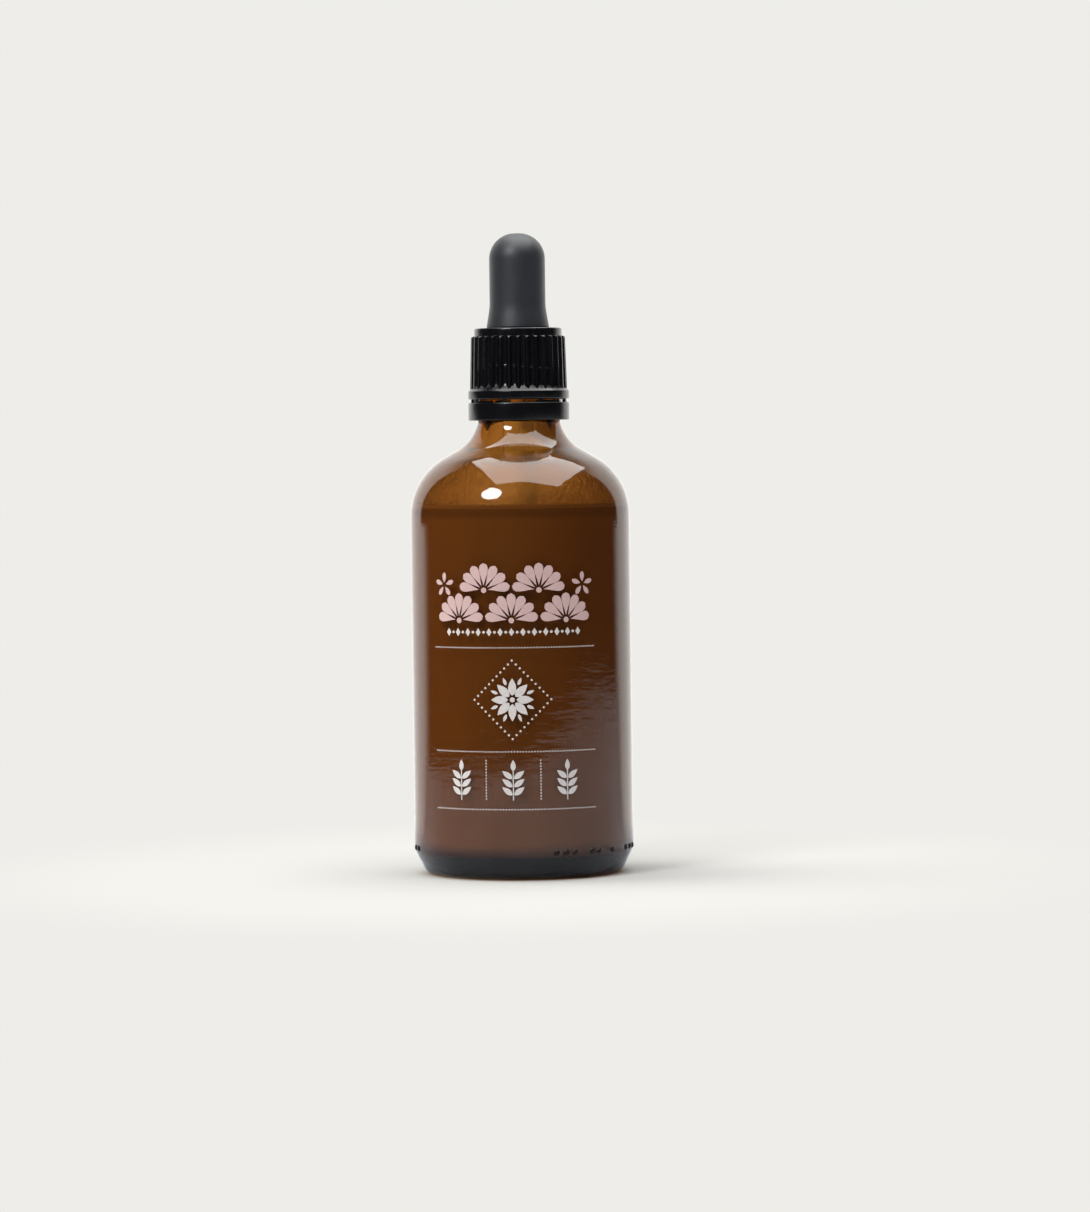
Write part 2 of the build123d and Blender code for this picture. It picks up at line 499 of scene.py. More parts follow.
def let_light_through(nodes, shader, tint):
    """Shadow and diffuse rays go straight through the glass, so that lamps reach what is behind it."""
    output = nodes.tree.nodes["Material Output"]
    path = nodes.add("ShaderNodeLightPath")
    passing = nodes.value(path, "Is Shadow Ray").most(nodes.value(path, "Is Diffuse Ray"))
    clear = nodes.add("ShaderNodeBsdfTransparent", None, {"Color": tint})
    inputs = {0: passing, 1: shader.outputs[0], 2: clear.outputs[0]}
    mix = nodes.add("ShaderNodeMixShader", None, inputs)
    nodes.tree.links.new(mix.outputs[0], output.inputs["Surface"])


def amber_glass():
    """Brown container glass, a little wavy. A film of drops is inside, above the contents."""
    material, nodes, shader = surface(
        "amber_glass",
        Transmission_Weight=1.0,
        Roughness=0.02,
        IOR=1.5,
    )
    where = nodes.place()
    x, y, z = nodes.parts(where)
    radius = (x * x + y * y).root()
    ripple = nodes.noise(nodes.stretched(where, 0.16, 0.16, 0.75), 1.0, 2.0, 0.6)
    grain = nodes.noise(where, 1.3, 3.0, 0.65)
    out = radius - (glass_radius - shoulder_fillet)
    up = z - shoulder_bottom
    depth_in = shoulder_fillet - (out * out + up * up).root()
    film = depth_in.rise(0.8, 1.4) * z.rise(liquid_level, liquid_level + 1.0)
    film = film * (1 - z.rise(shoulder_bottom + 10.0, shoulder_bottom + 13.0))
    drops = grain.rise(0.42, 0.6)
    height = ripple * 0.14 + grain * film * 0.9
    link(nodes, nodes.bump(height, 0.16), shader, "Normal")
    tint = nodes.blend(drops * 0.6 + 0.4, (0.86, 0.72, 0.56, 1), (0.56, 0.38, 0.22, 1))
    link(nodes, nodes.blend(film, (0.96, 0.9, 0.82, 1), tint), shader, "Base Color")
    let_light_through(nodes, shader, (0.93, 0.88, 0.82, 1))
    tone = [1 - share / absorption_density for share in absorbed_per_metre] + [1]
    inputs = {"Color": tone, "Density": absorption_density}
    volume = nodes.add("ShaderNodeVolumeAbsorption", None, inputs)
    output = nodes.tree.nodes["Material Output"]
    nodes.tree.links.new(volume.outputs[0], output.inputs["Volume"])
    return material


def painted_dark_glass():
    """Glass for the mould dots, painted near-black: the dark look the small glass domes get from
    refracting dark surroundings is painted shade in their colour.
    """
    material, nodes, shader = surface("painted_dark_glass", IOR=1.5, Specular_IOR_Level=0.25)
    where = nodes.place()
    streak = nodes.noise(where, 2.2, 2.0)
    # Painted shade: the dots' dark look from refraction is painted as a near-black colour.
    colour = nodes.blend(streak, (0.006, 0.003, 0.002, 1), (0.016, 0.008, 0.004, 1))
    link(nodes, colour, shader, "Base Color")
    link(nodes, streak * 0.08 + 0.06, shader, "Roughness")
    link(nodes, nodes.bump(streak, 0.03), shader, "Normal")
    return material


def clear_glass():
    """Drawn tube glass with faint lengthwise draw lines."""
    material, nodes, shader = surface(
        "clear_glass",
        Base_Color=(0.97, 0.985, 0.98, 1),
        Transmission_Weight=1.0,
        Roughness=0.02,
        IOR=1.5,
    )
    where = nodes.place()
    lines = nodes.noise(nodes.stretched(where, 1.0, 1.0, 0.03), 1.2)
    link(nodes, nodes.bump(lines, 0.02), shader, "Normal")
    let_light_through(nodes, shader, (0.97, 0.98, 0.98, 1))
    return material


def contents():
    """Cloudy brown liquid, a little darker just under its surface."""
    material, nodes, shader = surface("contents", Roughness=0.2, IOR=1.34)
    where = nodes.place()
    z = nodes.parts(where)[2]
    cloud = nodes.noise(nodes.stretched(where, 1.0, 1.0, 0.35), 0.06, 2.0)
    # Darker in a band just under the surface.
    top_band = z.rise(liquid_level - top_band_depth, liquid_level - 0.7)
    top_band = top_band * (1 - z.rise(liquid_level, liquid_level + 0.3))
    body = nodes.blend(cloud, (0.19, 0.125, 0.085, 1), (0.25, 0.17, 0.115, 1))
    colour = nodes.blend(top_band * 0.5, body, (0.07, 0.035, 0.02, 1))
    link(nodes, colour, shader, "Base Color")
    return material


def black_plastic():
    """Moulded black plastic with a fine grain and faint flow marks."""
    material, nodes, shader = surface("black_plastic", IOR=1.49)
    where = nodes.place()
    grain = nodes.noise(where, 4.5, 3.0, 0.6)
    flow = nodes.noise(nodes.stretched(where, 1.0, 1.0, 0.3), 0.5, 2.0)
    colour = nodes.blend(flow, (0.0014, 0.0014, 0.002, 1), (0.003, 0.003, 0.004, 1))
    link(nodes, colour, shader, "Base Color")
    link(nodes, flow * 0.12 + 0.16, shader, "Roughness")
    link(nodes, nodes.bump(grain, 0.03, 0.6), shader, "Normal")
    return material


def black_rubber():
    """Matte black rubber, with the faint bloom and fine texture of the mould."""
    material, nodes, shader = surface(
        "black_rubber",
        IOR=1.52,
        Sheen_Weight=0.07,
        Sheen_Roughness=0.5,
    )
    where = nodes.place()
    bloom = nodes.noise(where, 0.35, 3.0, 0.6)
    grain = nodes.noise(where, 6.0, 2.0, 0.7)
    colour = nodes.blend(bloom, (0.006, 0.0075, 0.0115, 1), (0.01, 0.012, 0.017, 1))
    link(nodes, colour, shader, "Base Color")
    link(nodes, bloom * 0.12 + 0.44, shader, "Roughness")
    link(nodes, nodes.bump(grain, 0.025, 0.7), shader, "Normal")
    return material


def ink(name, colour, thin):
    """Screen-printed ink that lies a little thinner in places."""
    material, nodes, shader = surface(name, Roughness=0.45)
    where = nodes.place()
    cover = nodes.noise(where, 1.6, 3.0, 0.6)
    link(nodes, nodes.blend(cover, colour, thin), shader, "Base Color")
    link(nodes, nodes.bump(cover, 0.008), shader, "Normal")
    return material


# Glass bottle

def glass_profile():
    """The outside from the push-up to the rim, then the cavity down to its floor."""
    cavity = glass_radius - glass_wall
    inner_corner = neck_corner - glass_wall / slope_cosine
    inner_neck = inner_corner - (mouth_radius - neck_radius) * slope_rise
    inner_shoulder = inner_corner - (cavity - neck_radius) * slope_rise
    outside = outline(
        (0, push_up, 0),
        (6.0, push_up, 0),
        (foot_radius - 4.6, 0.35, 3.0),
        (foot_radius - 3.4, 0, 1.0),
        (foot_radius, 0, foot_fillet),
        (glass_radius, heel_height, heel_fillet),
        (glass_radius, shoulder_corner, shoulder_fillet),
        (neck_radius, neck_corner, neck_fillet),
        (neck_radius, bead_bottom, 0.2),
        (bead_radius, bead_bottom + 0.25, 0.3),
        (bead_radius, bead_top - 0.3, 0.3),
        (finish_radius, bead_top + 0.3, 0.2),
        (finish_radius, rim_height, 0.9),
        (rim_middle, rim_height, 0),
        steps=12,
    )
    inside = outline(
        (rim_middle, rim_height, 0),
        (mouth_radius, rim_height, 0.6),
        (mouth_radius, inner_neck, neck_fillet + glass_wall),
        (cavity, inner_shoulder, shoulder_fillet - glass_wall),
        (cavity, floor_height, inner_heel_fillet),
        (0, floor_height + floor_dome, 0),
        steps=12,
    )[1:]
    fine = divided(outside, 0.3, thread_bottom - 1, rim_height - 1)
    return divided(fine + inside, 3.0)


def glass_shape(angle, radius, height):
    """Short ribs under the foot and the thread on the finish."""
    middle = foot_radius - rib_inset
    bearing = np.clip(1 - np.abs(radius - middle) / rib_half_length, 0, 1) * (height < 0.6)
    ribs = 0.5 + 0.5 * np.cos(np.radians(angle * rib_count))
    height = height + bearing * ribs * rib_depth
    along = (height - thread_bottom) / thread_pitch
    turns = along - angle / 360
    nearest = np.clip(np.round(turns), 0, thread_turns)
    off = np.abs(turns - nearest) * thread_pitch
    ends = np.clip(np.minimum(along, thread_turns + 0.2 - along) / thread_run_out, 0, 1)
    ridge = np.clip((thread_half_width - off) / thread_flank, 0, 1) * ends
    beside = (radius > finish_radius - 0.5) & (radius < finish_radius + 0.1)
    finish = beside & (height > thread_bottom - 1)
    return radius + ridge * (thread_crest - finish_radius) * finish, height


def glass_bottle():
    """The amber bottle, open at its mouth."""
    made = turned("glass_bottle", glass_profile(), glass_facets, glass_shape)
    made.data.materials.append(amber_glass())
    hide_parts("bottle")
    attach(made, "bottle")


def mould_dots():
    """Low round dots on the heel, in groups. Each is a dome whose foot is sunk into the glass."""
    line = outline(
        (0, -dot_sink, 0),
        (dot_radius, -dot_sink, 0),
        (dot_radius, dot_rise, 0.45),
        (0, dot_rise, 0),
        steps=5,
    )
    dome = turned("dot", line, 20)
    lean = Matrix.Rotation(radians(90), 4, "X")
    seat = Matrix.Translation((0, -glass_radius * MM, dot_height * MM))
    dome.data.transform(seat @ lean)
    dots = []
    for number, first, step in dot_groups:
        dots.append(shown("dots", repeated("dots", dome.data, number, step, first)))
    bpy.data.objects.remove(dome)
    made = joined("mould_dots", dots)
    # The dots get glass painted near-black, as painted shade.
    made.data.materials.append(painted_dark_glass())
    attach(made, "bottle")


def liquid():
    """The contents, which reach a little into the glass so that no air lies between."""
    cavity = glass_radius - glass_wall + liquid_overlap
    surface_line = [(cavity - inset, liquid_level + rise, 0) for inset, rise in meniscus]
    line = outline(
        (0, floor_height + floor_dome - liquid_overlap, 0),
        (cavity, floor_height - liquid_overlap, inner_heel_fillet),
        *surface_line,
        (0, liquid_level, 0),
        steps=10,
    )
    made = turned("liquid", divided(line, 3.0), 160)
    made.data.materials.append(contents())
    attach(made, "bottle")


# Closure

def cap_lines():
    """The cap's section in three runs: the rim, a ridge, and the flange with the bore."""
    rim_top = outline(
        (cap_hole_radius, plate_underside, 0),
        (cap_hole_radius, cap_top, 0.2),
        (cap_rim_radius, cap_top, 0.35),
        (cap_rim_radius, ridge_end, 0),
        steps=5,
    )
    ridge = outline(
        (cap_rim_radius + 0.05, ridge_end, 0),
        (ridge_top_radius, ridge_end, 0.5),
        (ridge_bottom_radius, cap_bottom, 0),
        steps=8,
    )
    foot = cap_bottom + flange_thickness
    cone = flange_radius - cap_bore - flute_wall_bottom
    flange = outline(
        (flange_radius - cone, foot + cone, 0),
        (flange_radius, foot, 0.15),
        (flange_radius, cap_bottom, 0.25),
        (ring_bore, cap_bottom, 0.1),
        (ring_bore, bead_top, 0.1),
        (cap_bore, bead_top + skirt_clearance, 0.1),
        (cap_bore, plate_underside, 0.3),
        (cap_hole_radius, plate_underside, 0),
        steps=5,
    )
    return rim_top, ridge, flange


def fluted(crest, height, away):
    """Radius of a ridge with a round flute beside it, at angles away from the flute's middle."""
    share = (height - cap_bottom) / (ridge_end - cap_bottom)
    middle = cap_bore + flute_wall_bottom + flute_radius - flute_lean * share
    sideways = middle * np.sin(away)
    inside = np.clip(flute_radius**2 - sideways**2, 0, None)
    hollow = middle * np.cos(away) - np.sqrt(inside)
    hollow = np.where(sideways < flute_radius, hollow, hollow + (sideways - flute_radius) * 3)
    mixed = np.clip(0.5 + 0.5 * (hollow - crest) / ridge_softness, 0, 1)
    lowest = hollow * (1 - mixed) + crest * mixed - ridge_softness * mixed * (1 - mixed)
    return np.maximum(lowest, cap_rim_radius)


def cap_rows(away):
    """Rows round the cap's section, each with the radii across a sector and its height."""
    rim_top, ridge, flange = cap_lines()
    across = np.ones(len(away))
    rows = [(across * p.x, p.y) for p in rim_top]
    rows += [(fluted(p.x, p.y, away), p.y) for p in divided(ridge, 1.2) if p.y > flange[0].y]
    cone = [flange[0].lerp(flange[1], k / 14) for k in range(15)]
    for p in cone + flange[2:]:
        radius = across * p.x
        if p.y > cap_bottom + flange_thickness - 0.01 and p.x > cap_bore + 0.5:
            share = (ridge_end - p.y) / (ridge_end - cap_bottom)
            crest = ridge_top_radius + (ridge_bottom_radius - ridge_top_radius) * share
            radius = np.maximum(radius, fluted(crest, p.y, away))
        rows.append((radius, p.y))
    return rows


def cap_sector():
    """One of the cap's equal sectors, with half a flute at each side of its ridge."""
    columns = 20
    half = pi / flute_count
    turn = np.linspace(-half, half, columns + 1)
    rows = cap_rows(half - np.abs(turn))
    points = []
    for radius, height in rows:
        for r, a in zip(radius, turn):
            points.append((r * sin(a) * MM, -r * cos(a) * MM, height * MM))
    width = columns + 1
    faces = []
    for i in range(len(rows) - 1):
        for k in range(columns):
            corner = i * width + k
            faces.append((corner, corner + width, corner + width + 1, corner + 1))
    return solid("cap_sector", points, faces)


def closure_cap():
    """The fluted cap: one ridge's sector, repeated around the axis and welded."""
    sector = cap_sector()
    ridges = repeated("cap_ridges", sector.data, flute_count, 360 / flute_count, weld=1e-6)
    bpy.data.objects.remove(sector)
    shell = shown("cap_shell", ridges)
    made = joined("closure_cap", [shell, cap_thread()], crease=50)
    made.data.materials.append(black_plastic())
    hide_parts("screw_cap")
    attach(made, "cap")


def cap_thread():
    """The thread inside the cap: a rounded ridge along a rising spiral."""
    kinds = {name: "Float" for name in ("Turns", "Radius", "Rise", "Bottom", "Thickness")}
    nodes, given = group("thread_ridge", **kinds)
    spiral = nodes.add("GeometryNodeCurveSpiral", None, {
        "Resolution": 72,
        "Rotations": given.outputs["Turns"],
        "Start Radius": given.outputs["Radius"],
        "End Radius": given.outputs["Radius"],
        "Height": given.outputs["Rise"],
    })
    lift = nodes.add("ShaderNodeCombineXYZ", None, {"Z": given.outputs["Bottom"]})
    placed = nodes.add("GeometryNodeTransform", None, {
        "Geometry": spiral.outputs[0],
        "Translation": lift.outputs[0],
    })
    section = nodes.add("GeometryNodeCurvePrimitiveCircle", None, {
        "Resolution": 10,
        "Radius": given.outputs["Thickness"],
    })
    along = nodes.value(nodes.add("GeometryNodeSplineParameter"), "Factor")
    swept = nodes.add("GeometryNodeCurveToMesh", None, {
        "Curve": placed.outputs[0],
        "Profile Curve": section.outputs[0],
        "Scale": (along * 14).least((1 - along) * 14).least(1.0).most(0.15),
        "Fill Caps": True,
    })
    sizes = {
        "Turns": cap_thread_turns,
        "Radius": (cap_bore + cap_thread_sink) * MM,
        "Rise": cap_thread_turns * thread_pitch * MM,
        "Bottom": cap_thread_bottom * MM,
        "Thickness": cap_thread_radius * MM,
    }
    return shown("cap_thread", grown(nodes, swept, sizes), crease=60)


def repeated(name, mesh, count, step, first=0.0, weld=0.0):
    """A mesh repeated around the axis, from a first angle on in equal steps."""
    kinds = {"Geometry": "Geometry", "Count": "Int", "First": "Float", "Step": "Float", "Weld": "Float"}
    nodes, given = group(name, **kinds)
    inputs = {"Count": given.outputs["Count"], "Offset": (0, 0, 0)}
    places = nodes.add("GeometryNodeMeshLine", None, inputs)
    index = nodes.value(nodes.add("GeometryNodeInputIndex"))
    turn = index * nodes.value(given, "Step") + nodes.value(given, "First")
    copies = nodes.add("GeometryNodeInstanceOnPoints", None, {
        "Points": places.outputs[0],
        "Instance": given.outputs["Geometry"],
        "Rotation": nodes.add("ShaderNodeCombineXYZ", None, {"Z": turn}).outputs[0],
    })
    real = nodes.add("GeometryNodeRealizeInstances", None, {"Geometry": copies.outputs[0]})
    welded = nodes.add("GeometryNodeMergeByDistance", None, {
        "Geometry": real.outputs[0],
        "Distance": given.outputs["Weld"],
    })
    sizes = {"Count": count, "First": radians(first), "Step": radians(step), "Weld": weld}
    return grown(nodes, welded, sizes, mesh)


def closed_outline(*corners, steps=4):
    """A closed profile whose corners may all be round."""
    padded = (corners[-1],) + corners + (corners[0],)
    line = []
    for i in range(1, len(padded) - 1):
        before = padded[i - 1][:2] + (0,)
        after = padded[i + 1][:2] + (0,)
        line += outline(before, padded[i], after, steps=steps)[1:-1]
    return line


def closure_band():
    """The tamper band with its lip under the glass bead, and its bridges and lands."""
    lip_top = ring_bottom + lip_height
    lip_radius = bead_radius - lip_overlap
    line = closed_outline(
        (ring_bore, ring_top, 0.15),
        (ring_bore, lip_top + lip_overlap, 0.1),
        (lip_radius, lip_top, 0.15),
        (lip_radius, ring_bottom + lip_overlap, 0.15),
        (ring_bore, ring_bottom, 0.1),
        (ring_radius, ring_bottom, ring_edge),
        (ring_radius, ring_top, ring_edge),
    )
    band = turned("band", line, 256, loop=True)
    peg = bridge()
    pegs = repeated("bridges", peg.data, bridge_count, 360 / bridge_count)
    plot = land()
    lands = repeated("lands", plot.data, land_count, 360 / land_count)
    bpy.data.objects.remove(peg)
    bpy.data.objects.remove(plot)
    parts = [band, shown("bridges", pegs), shown("lands", lands)]
    made = joined("closure_band", parts, crease=50)
    made.data.materials.append(black_plastic())
    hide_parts("tamper_ring")
    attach(made, "ring")


def bridge():
    """One thin bridge between the band and the cap, its foot sunk into the band."""
    work = bmesh.new()
    bmesh.ops.create_cube(work, size=1)
    bmesh.ops.subdivide_edges(work, edges=work.edges, cuts=2, use_grid_fill=True)
    middle = ring_radius - ring_wall / 2
    bottom = ring_top - bridge_sink
    for vert in work.verts:
        share = vert.co.z + 0.5
        narrow = 1 - bridge_narrowing * share
        vert.co.x *= bridge_width * narrow
        vert.co.y *= bridge_depth * narrow
        vert.co.z = bottom + (cap_bottom - bottom) * share
        vert.co.y -= middle
    turn = Matrix.Rotation(radians(bridge_angle + 90), 4, "Z")
    bmesh.ops.transform(work, matrix=turn @ Matrix.Scale(MM, 4), verts=work.verts)
    mesh = bpy.data.meshes.new("bridge")
    work.to_mesh(mesh)
    work.free()
    return shown("bridge", mesh)


def land():
    """One broad land beside a bridge, which stops short of the cap's flange."""
    top = cap_bottom - land_clearance
    bottom = ring_top - land_sink
    section = closed_outline(
        (ring_bore, bottom, 0.02),
        (ring_radius - ring_edge, bottom, 0.02),
        (ring_radius - ring_edge, top, 0.12),
        (ring_bore, top, 0.12),
        steps=3,
    )
    first = bridge_angle - 360 / bridge_count - land_end
    count = 14
    corners = len(section)
    points = []
    for k in range(count + 1):
        turn = radians(first + (land_arc + 2 * land_end) * k / count)
        points += [(p.x * cos(turn) * MM, p.x * sin(turn) * MM, p.y * MM) for p in section]
    faces = [list(range(corners)), list(range(count * corners, (count + 1) * corners))]
    for k in range(count):
        for i in range(corners):
            ahead = (i + 1) % corners
            low = k * corners
            faces.append((low + i, low + ahead, low + corners + ahead, low + corners + i))
    return solid("land", points, faces)


# Dropper

def rubber_teat():
    """The squeeze bulb with its foot on the cap, its stem and its sealing flange."""
    seal_radius = cap_bore - seal_clearance
    plate = rim_height + seal_thickness
    line = outline(
        (grip_radius, seal_bottom, 0),
        (seal_radius, seal_bottom, 0.3),
        (seal_radius, plate, 0.3),
        (stem_radius, plate, 0.15),
        (stem_radius, cap_top, 0.1),
        (teat_foot_radius, cap_top, 0.3),
        (teat_radius, cap_top + teat_foot_height, waist_fillet),
        (teat_radius, teat_top, crown_fillet),
        (0, teat_top, 0),
        steps=10,
    )
    chamber = outline(
        (0, teat_top - teat_wall, 0),
        (teat_radius - teat_wall, teat_top - teat_wall, chamber_fillet),
        (teat_radius - teat_wall, grip_top, 0.3),
        (grip_radius, grip_top, 0.2),
        (grip_radius, seal_bottom, 0),
        steps=6,
    )
    made = turned("rubber_teat", divided(line, 0.8) + divided(chamber, 1.2), 144)
    made.data.materials.append(black_rubber())
    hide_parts("bulb")
    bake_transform(made)


def glass_pipette():
    """The drawn glass tube with its collar and its narrow tip."""
    bore = tube_radius - tube_wall
    collar = tube_radius + collar_depth
    outside = outline(
        (tip_bore_radius, tip_height, 0),
        (tip_radius, tip_height, 0.3),
        (tip_neck_radius, tip_neck, tip_fillet),
        (tube_radius, tip_shoulder, tip_fillet),
        (tube_radius, grip_top, 0.3),
        (collar, grip_top + collar_length / 2, 0.35),
        (tube_radius, grip_top + collar_length, 0.3),
        (tube_radius, tube_top, 0.3),
        (bore, tube_top, 0),
        steps=8,
    )
    inside = outline(
        (bore, tube_top, 0),
        (bore, tip_shoulder, tip_fillet),
        (tip_neck_bore_radius, tip_neck, tip_fillet),
        (tip_bore_radius, tip_height, 0),
        steps=8,
    )[1:]
    made = turned("glass_pipette", divided(outside + inside, 2.5), 96)
    made.data.materials.append(clear_glass())
    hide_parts("pipette")
    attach(made, "dropper")


# Printed panel

def petal(length, width, widest=0.42, point=0.9):
    """A leaf from the origin up along v, with its widest place as a share of its length."""
    steps = 14
    right = [(0, 0)]
    for k in range(1, steps):
        share = k / steps
        swell = sin(pi * share ** (log(0.5) / log(widest))) ** point
        right.append((width / 2 * swell, length * share))
    right.append((0, length))
    left = [(-u, v) for u, v in reversed(right[1:-1])]
    return right + left


def disc(radius, corners=10):
    """A round dot as a flat outline."""
    turns = [2 * pi * k / corners for k in range(corners)]
    return [(radius * cos(turn), radius * sin(turn)) for turn in turns]


def lozenge(width, height):
    """A diamond as a flat outline."""
    return [(0, -height / 2), (width / 2, 0), (0, height / 2), (-width / 2, 0)]


def flat(points):
    """A one-face mesh from a flat outline."""
    mesh = bpy.data.meshes.new("motif")
    mesh.from_pydata([(u, v, 0) for u, v in points], [], [list(range(len(points)))])
    return mesh


def fan(motif, count, centre, first, last, radius, name):
    """A motif repeated on an arc about a centre, pointing outwards."""
    kinds = {"Geometry": "Geometry", "Count": "Int", "First": "Float", "Last": "Float"}
    nodes, given = group(name, **kinds, Radius="Float", Centre="Vector")
    inputs = {"Count": given.outputs["Count"], "Offset": (0, 0, 0)}
    points = nodes.add("GeometryNodeMeshLine", None, inputs)
    index = nodes.value(nodes.add("GeometryNodeInputIndex"))
    steps = (nodes.value(given, "Count") - 1).most(1.0)
    start = nodes.value(given, "First")
    turn = start + (nodes.value(given, "Last") - start) * index / steps
    away = nodes.value(given, "Radius")
    across = turn.math("SINE", turn) * away * -1
    up = turn.math("COSINE", turn) * away
    ring = nodes.add("ShaderNodeCombineXYZ", None, {"X": across, "Y": up})
    where = nodes.add("ShaderNodeVectorMath", None, {0: ring.outputs[0], 1: given.outputs["Centre"]})
    inputs = {"Geometry": points.outputs[0], "Position": where.outputs[0]}
    placed = nodes.add("GeometryNodeSetPosition", None, inputs)
    copies = nodes.add("GeometryNodeInstanceOnPoints", None, {
        "Points": placed.outputs[0],
        "Instance": given.outputs["Geometry"],
        "Rotation": nodes.add("ShaderNodeCombineXYZ", None, {"Z": turn}).outputs[0],
    })
    sizes = {"Count": count, "First": radians(first), "Last": radians(last), "Radius": radius}
    sizes["Centre"] = (centre[0], centre[1], 0.0)
    return grown(nodes, copies, sizes, flat(motif))


def line_of(motif, count, start, step, name):
    """A motif repeated along a straight line."""
    nodes, given = group(name, Geometry="Geometry", Count="Int", Start="Vector", Step="Vector")
    points = nodes.add("GeometryNodeMeshLine", None, {
        "Count": given.outputs["Count"],
        "Start Location": given.outputs["Start"],
        "Offset": given.outputs["Step"],
    })
    copies = nodes.add("GeometryNodeInstanceOnPoints", None, {
        "Points": points.outputs[0],
        "Instance": given.outputs["Geometry"],
    })
    sizes = {"Count": count, "Start": (*start, 0.0), "Step": (*step, 0.0)}
    return grown(nodes, copies, sizes, flat(motif))


def printed(name, motifs, material):
    """Flat motifs cut into narrow strips, given ink's thickness and laid round the glass."""
    work = bmesh.new()
    for motif in motifs:
        work.from_mesh(motif)
    count = int(rule_half_width / panel_strip) + 1
    for k in range(-count, count + 1):
        everything = work.verts[:] + work.edges[:] + work.faces[:]
        cut = (k * panel_strip, 0, 0)
        bmesh.ops.bisect_plane(work, geom=everything, plane_co=cut, plane_no=(1, 0, 0))
    bmesh.ops.triangulate(work, faces=work.faces)
    work.verts.index_update()
    flat_points = [vert.co.copy() for vert in work.verts]
    faces = [[vert.index for vert in face.verts] for face in work.faces]
    open_edges = [edge for edge in work.edges if edge.is_boundary]
    borders = [(edge.verts[0].index, edge.verts[1].index) for edge in open_edges]
    work.free()
    points = []
    for radius in (body_radius - ink_inset, glass_radius - ink_sink):
        for p in flat_points:
            turn = radians(panel_turn) + p.x / glass_radius
            points.append((radius * sin(turn) * MM, -radius * cos(turn) * MM, p.y * MM))
    under = len(flat_points)
    sides = [(a, b, b + under, a + under) for a, b in borders]
    below = [[i + under for i in reversed(face)] for face in faces]
    made = solid(name, points, faces + below + sides, crease=30)
    made.data.materials.append(material)
    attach(made, "bottle")


def pink_print():
    """Two rows of shells made of round petals, the upper row between the lower shells."""
    motifs = []
    for foot, places in shell_rows:
        for across in places:
            centre = (across, foot)
            motifs.append(fan(petal(4.75, 1.95, 0.74, 0.5), 7, centre, 81, -81, 0.95, "shell"))
            motifs.append(fan(disc(0.6), 1, centre, 0, 0, 0.0, "shell_foot"))
    for across in blossom_places:
        centre = (across, blossom_height)
        motifs.append(fan(petal(2.1, 1.0, 0.6, 0.6), 5, centre, 0, 288, 0.5, "blossom"))
    printed("print_pink", motifs, ink("pink_ink", pink, thin_pink))


def white_print():
    """Dotted rules, a row of beads, a rosette in a dotted frame and three sprigs."""
    dots = int(2 * rule_half_width / dot_pitch) + 1
    motifs = []
    for height in rule_heights:
        start = (-rule_half_width, height)
        motifs.append(line_of(disc(0.17, 8), dots, start, (dot_pitch, 0), "rule"))
    beads = rule_heights[0] + 3.25
    motifs.append(line_of(lozenge(1.15, 1.7), 13, (-14.4, beads), (2.4, 0), "beads"))
    motifs.append(line_of(disc(0.3, 10), 12, (-13.2, beads), (2.4, 0), "bead_dots"))
    centre = (0, (rule_heights[0] + rule_heights[1]) / 2)
    motifs.append(fan(petal(3.6, 1.7), 8, centre, 0, 315, 0.9, "rosette"))
    motifs.append(fan(petal(1.7, 0.7), 8, centre, 22.5, 337.5, 3.3, "rosette_tips"))
    motifs.append(fan(disc(0.55), 1, centre, 0, 0, 0.0, "rosette_middle"))
    step = frame_reach / (frame_dots - 1)
    for across in (-1, 1):
        for up in (-1, 1):
            start = (across * frame_reach, centre[1])
            way = (-across * step, up * step)
            motifs.append(line_of(disc(0.24, 8), frame_dots, start, way, "frame"))
    foot = rule_heights[2] + 1.9
    for across in sprig_places:
        motifs += sprig(across, foot)
    for across in divider_places:
        start = (across, foot + 0.3)
        motifs.append(line_of(disc(0.17, 8), 14, start, (0, dot_pitch), "divider"))
    printed("print_white", motifs, ink("white_ink", white, thin_white))


def sprig(across, foot):
    """A stem with pairs of leaves and a bud at its tip."""
    stalk = [(-0.11, 0), (0.11, 0), (0.11, 6.4), (-0.11, 6.4)]
    stem = line_of(stalk, 1, (across, foot), (0, 0), "stem")
    bud = fan(petal(2.3, 1.1), 1, (across, foot + 6.2), 0, 0, 0.0, "bud")
    leaves = []
    for k in range(3):
        height = foot + 1.0 + k * 1.7
        leaves.append(fan(petal(2.7, 1.15), 2, (across, height), 52, -52, 0.25, "leaves"))
    return [stem, bud] + leaves


# Studio

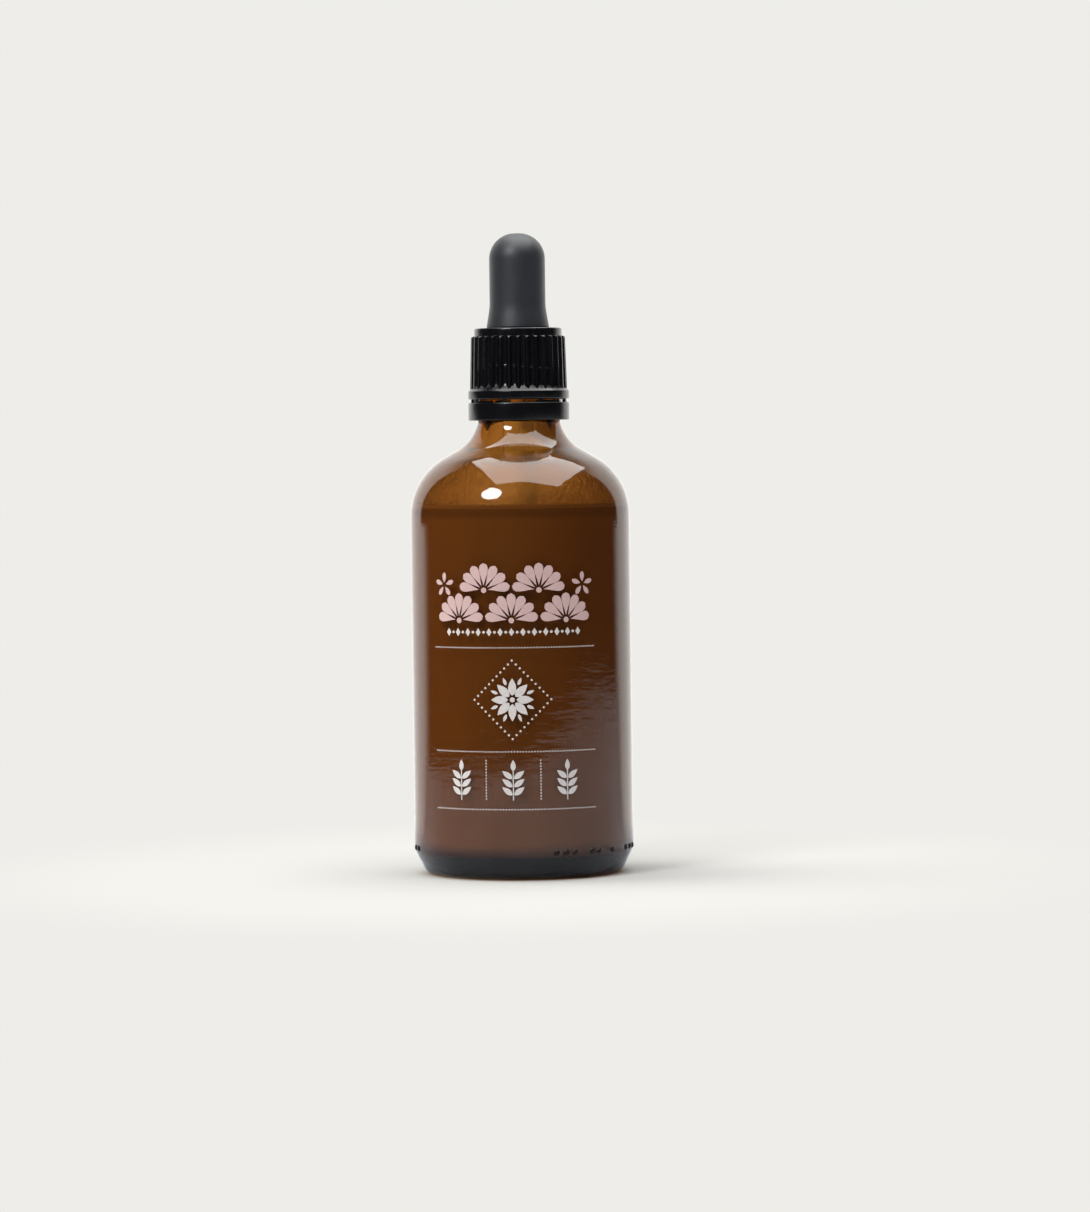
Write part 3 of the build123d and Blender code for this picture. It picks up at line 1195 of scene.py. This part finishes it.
def lit_floor():
    """A pale sheet that is lit near the bottle and runs into the plain backdrop further out."""
    material = bpy.data.materials.new("pale_floor")
    material.use_nodes = True
    nodes = Nodes(material.node_tree)
    nodes.tree.nodes.remove(nodes.tree.nodes["Principled BSDF"])
    where = nodes.place()
    x, y = nodes.parts(where)[:2]
    radius = (x * x + y * y).root()
    path = nodes.add("ShaderNodeLightPath")
    seen = nodes.value(path, "Is Camera Ray").most(nodes.value(path, "Is Transmission Ray"))
    grain = nodes.noise(where, 0.02, 2.0)
    paper = nodes.blend(grain, (0.345, 0.342, 0.33, 1), (0.355, 0.352, 0.339, 1))
    colour = nodes.blend(seen, floor_in_glass, paper)
    lit = nodes.add("ShaderNodeBsdfDiffuse", None, {"Color": colour})
    behind = (y / radius.most(1.0)).rise(0.35, 0.6)
    beyond = nodes.blend(behind, dark_room, bright_wall)
    plain = nodes.add("ShaderNodeEmission", None, {"Color": nodes.blend(seen, beyond, backdrop)})
    near = radius.rise(30.0, 150.0)
    aside = (x * 0.55).most(0.0) + 330.0
    room = (radius - aside).rise(-40.0, 60.0).most(behind * radius.rise(60.0, 160.0))
    factor = near * seen + room * (1 - seen)
    inputs = {0: factor, 1: lit.outputs[0], 2: plain.outputs[0]}
    mix = nodes.add("ShaderNodeMixShader", None, inputs)
    output = nodes.tree.nodes["Material Output"]
    nodes.tree.links.new(mix.outputs[0], output.inputs["Surface"])
    return material


def studio_floor():
    """A wide round sheet a tenth of a millimetre under the foot."""
    below = (0, 0, -0.1 * MM)
    bpy.ops.mesh.primitive_circle_add(vertices=96, radius=floor_size, fill_type="NGON", location=below)
    floor = bpy.context.object
    floor.name = "studio_floor"
    floor.data.materials.append(lit_floor())


def studio_world():
    """A plain backdrop to the camera. Other rays see white behind and a dim room in front."""
    world = bpy.data.worlds.new("studio")
    bpy.context.scene.world = world
    world.use_nodes = True
    nodes = Nodes(world.node_tree)
    path = nodes.add("ShaderNodeLightPath")
    towards = nodes.add("ShaderNodeTexCoord").outputs["Generated"]
    x, y, z = nodes.parts(towards)
    level = (x * x + y * y).root().most(0.001)
    sideways = x / level
    behind = (y * cos(radians(3)) + x * sin(radians(3))) / level
    wall = behind.rise(0.55, 0.62) * (1 - z.rise(0.55, 0.8))
    glossy = nodes.blend(wall, dark_room, bright_wall)
    through = nodes.blend(sideways.rise(-0.16, 0.16), left_through_glass, right_through_glass)
    left = (1 - sideways.rise(-0.98, -0.55)) * behind.rise(-0.5, 0.1)
    ambient = nodes.blend(left, room_ambient, left_ambient)
    colour = nodes.blend(nodes.value(path, "Is Diffuse Ray"), glossy, ambient)
    colour = nodes.blend(nodes.value(path, "Is Transmission Ray"), colour, through)
    colour = nodes.blend(nodes.value(path, "Is Camera Ray"), colour, backdrop)
    background = nodes.tree.nodes["Background"]
    nodes.tree.links.new(colour, background.inputs["Color"])


def lamp(name, shape, size, place, aim, radiance, size_y=None):
    """An area lamp of a given radiance, in metres, turned towards a point."""
    data = bpy.data.lights.new(name, "AREA")
    data.shape = shape
    data.size = size
    area = pi * size * size / 4
    if size_y is not None:
        data.size_y = size_y
        area = size * size_y
    data.energy = radiance * pi * area
    made = bpy.data.objects.new(name, data)
    bpy.context.scene.collection.objects.link(made)
    made.location = place
    made.rotation_euler = (Vector(aim) - Vector(place)).to_track_quat("-Z", "Y").to_euler()
    made.visible_camera = False


def studio_lamps():
    """A round key light at the front left, and a wide soft box overhead."""
    key_place = Vector(lamp_aim) + Vector(key_way).normalized() * key_distance
    lamp("key", "DISK", key_size, key_place, lamp_aim, key_radiance)
    wide, deep = overhead_size
    below = overhead_place[:2] + (0,)
    lamp("overhead", "RECTANGLE", wide, overhead_place, below, overhead_radiance, deep)


def studio_camera():
    """A long lens in front of the bottle, a little above its middle."""
    data = bpy.data.cameras.new("camera")
    data.sensor_fit = "VERTICAL"
    data.sensor_height = sensor_height
    data.lens = camera_lens
    camera = bpy.data.objects.new("camera", data)
    bpy.context.scene.collection.objects.link(camera)
    camera.location = (0, -camera_distance, camera_height)
    level = Matrix.Rotation(radians(90), 4, "X")
    turn = Matrix.Rotation(radians(-look_right), 4, "Z")
    down = Matrix.Rotation(radians(-look_down), 4, "X")
    roll = Matrix.Rotation(radians(-camera_roll), 4, "Z")
    camera.rotation_euler = (turn @ level @ down @ roll).to_euler()
    bpy.context.scene.camera = camera


glass_bottle()
mould_dots()
liquid()
pink_print()
white_print()
closure_cap()
closure_band()
rubber_teat()
glass_pipette()
studio_floor()
studio_world()
studio_lamps()
studio_camera()
bpy.context.scene.view_settings.view_transform = "Standard"
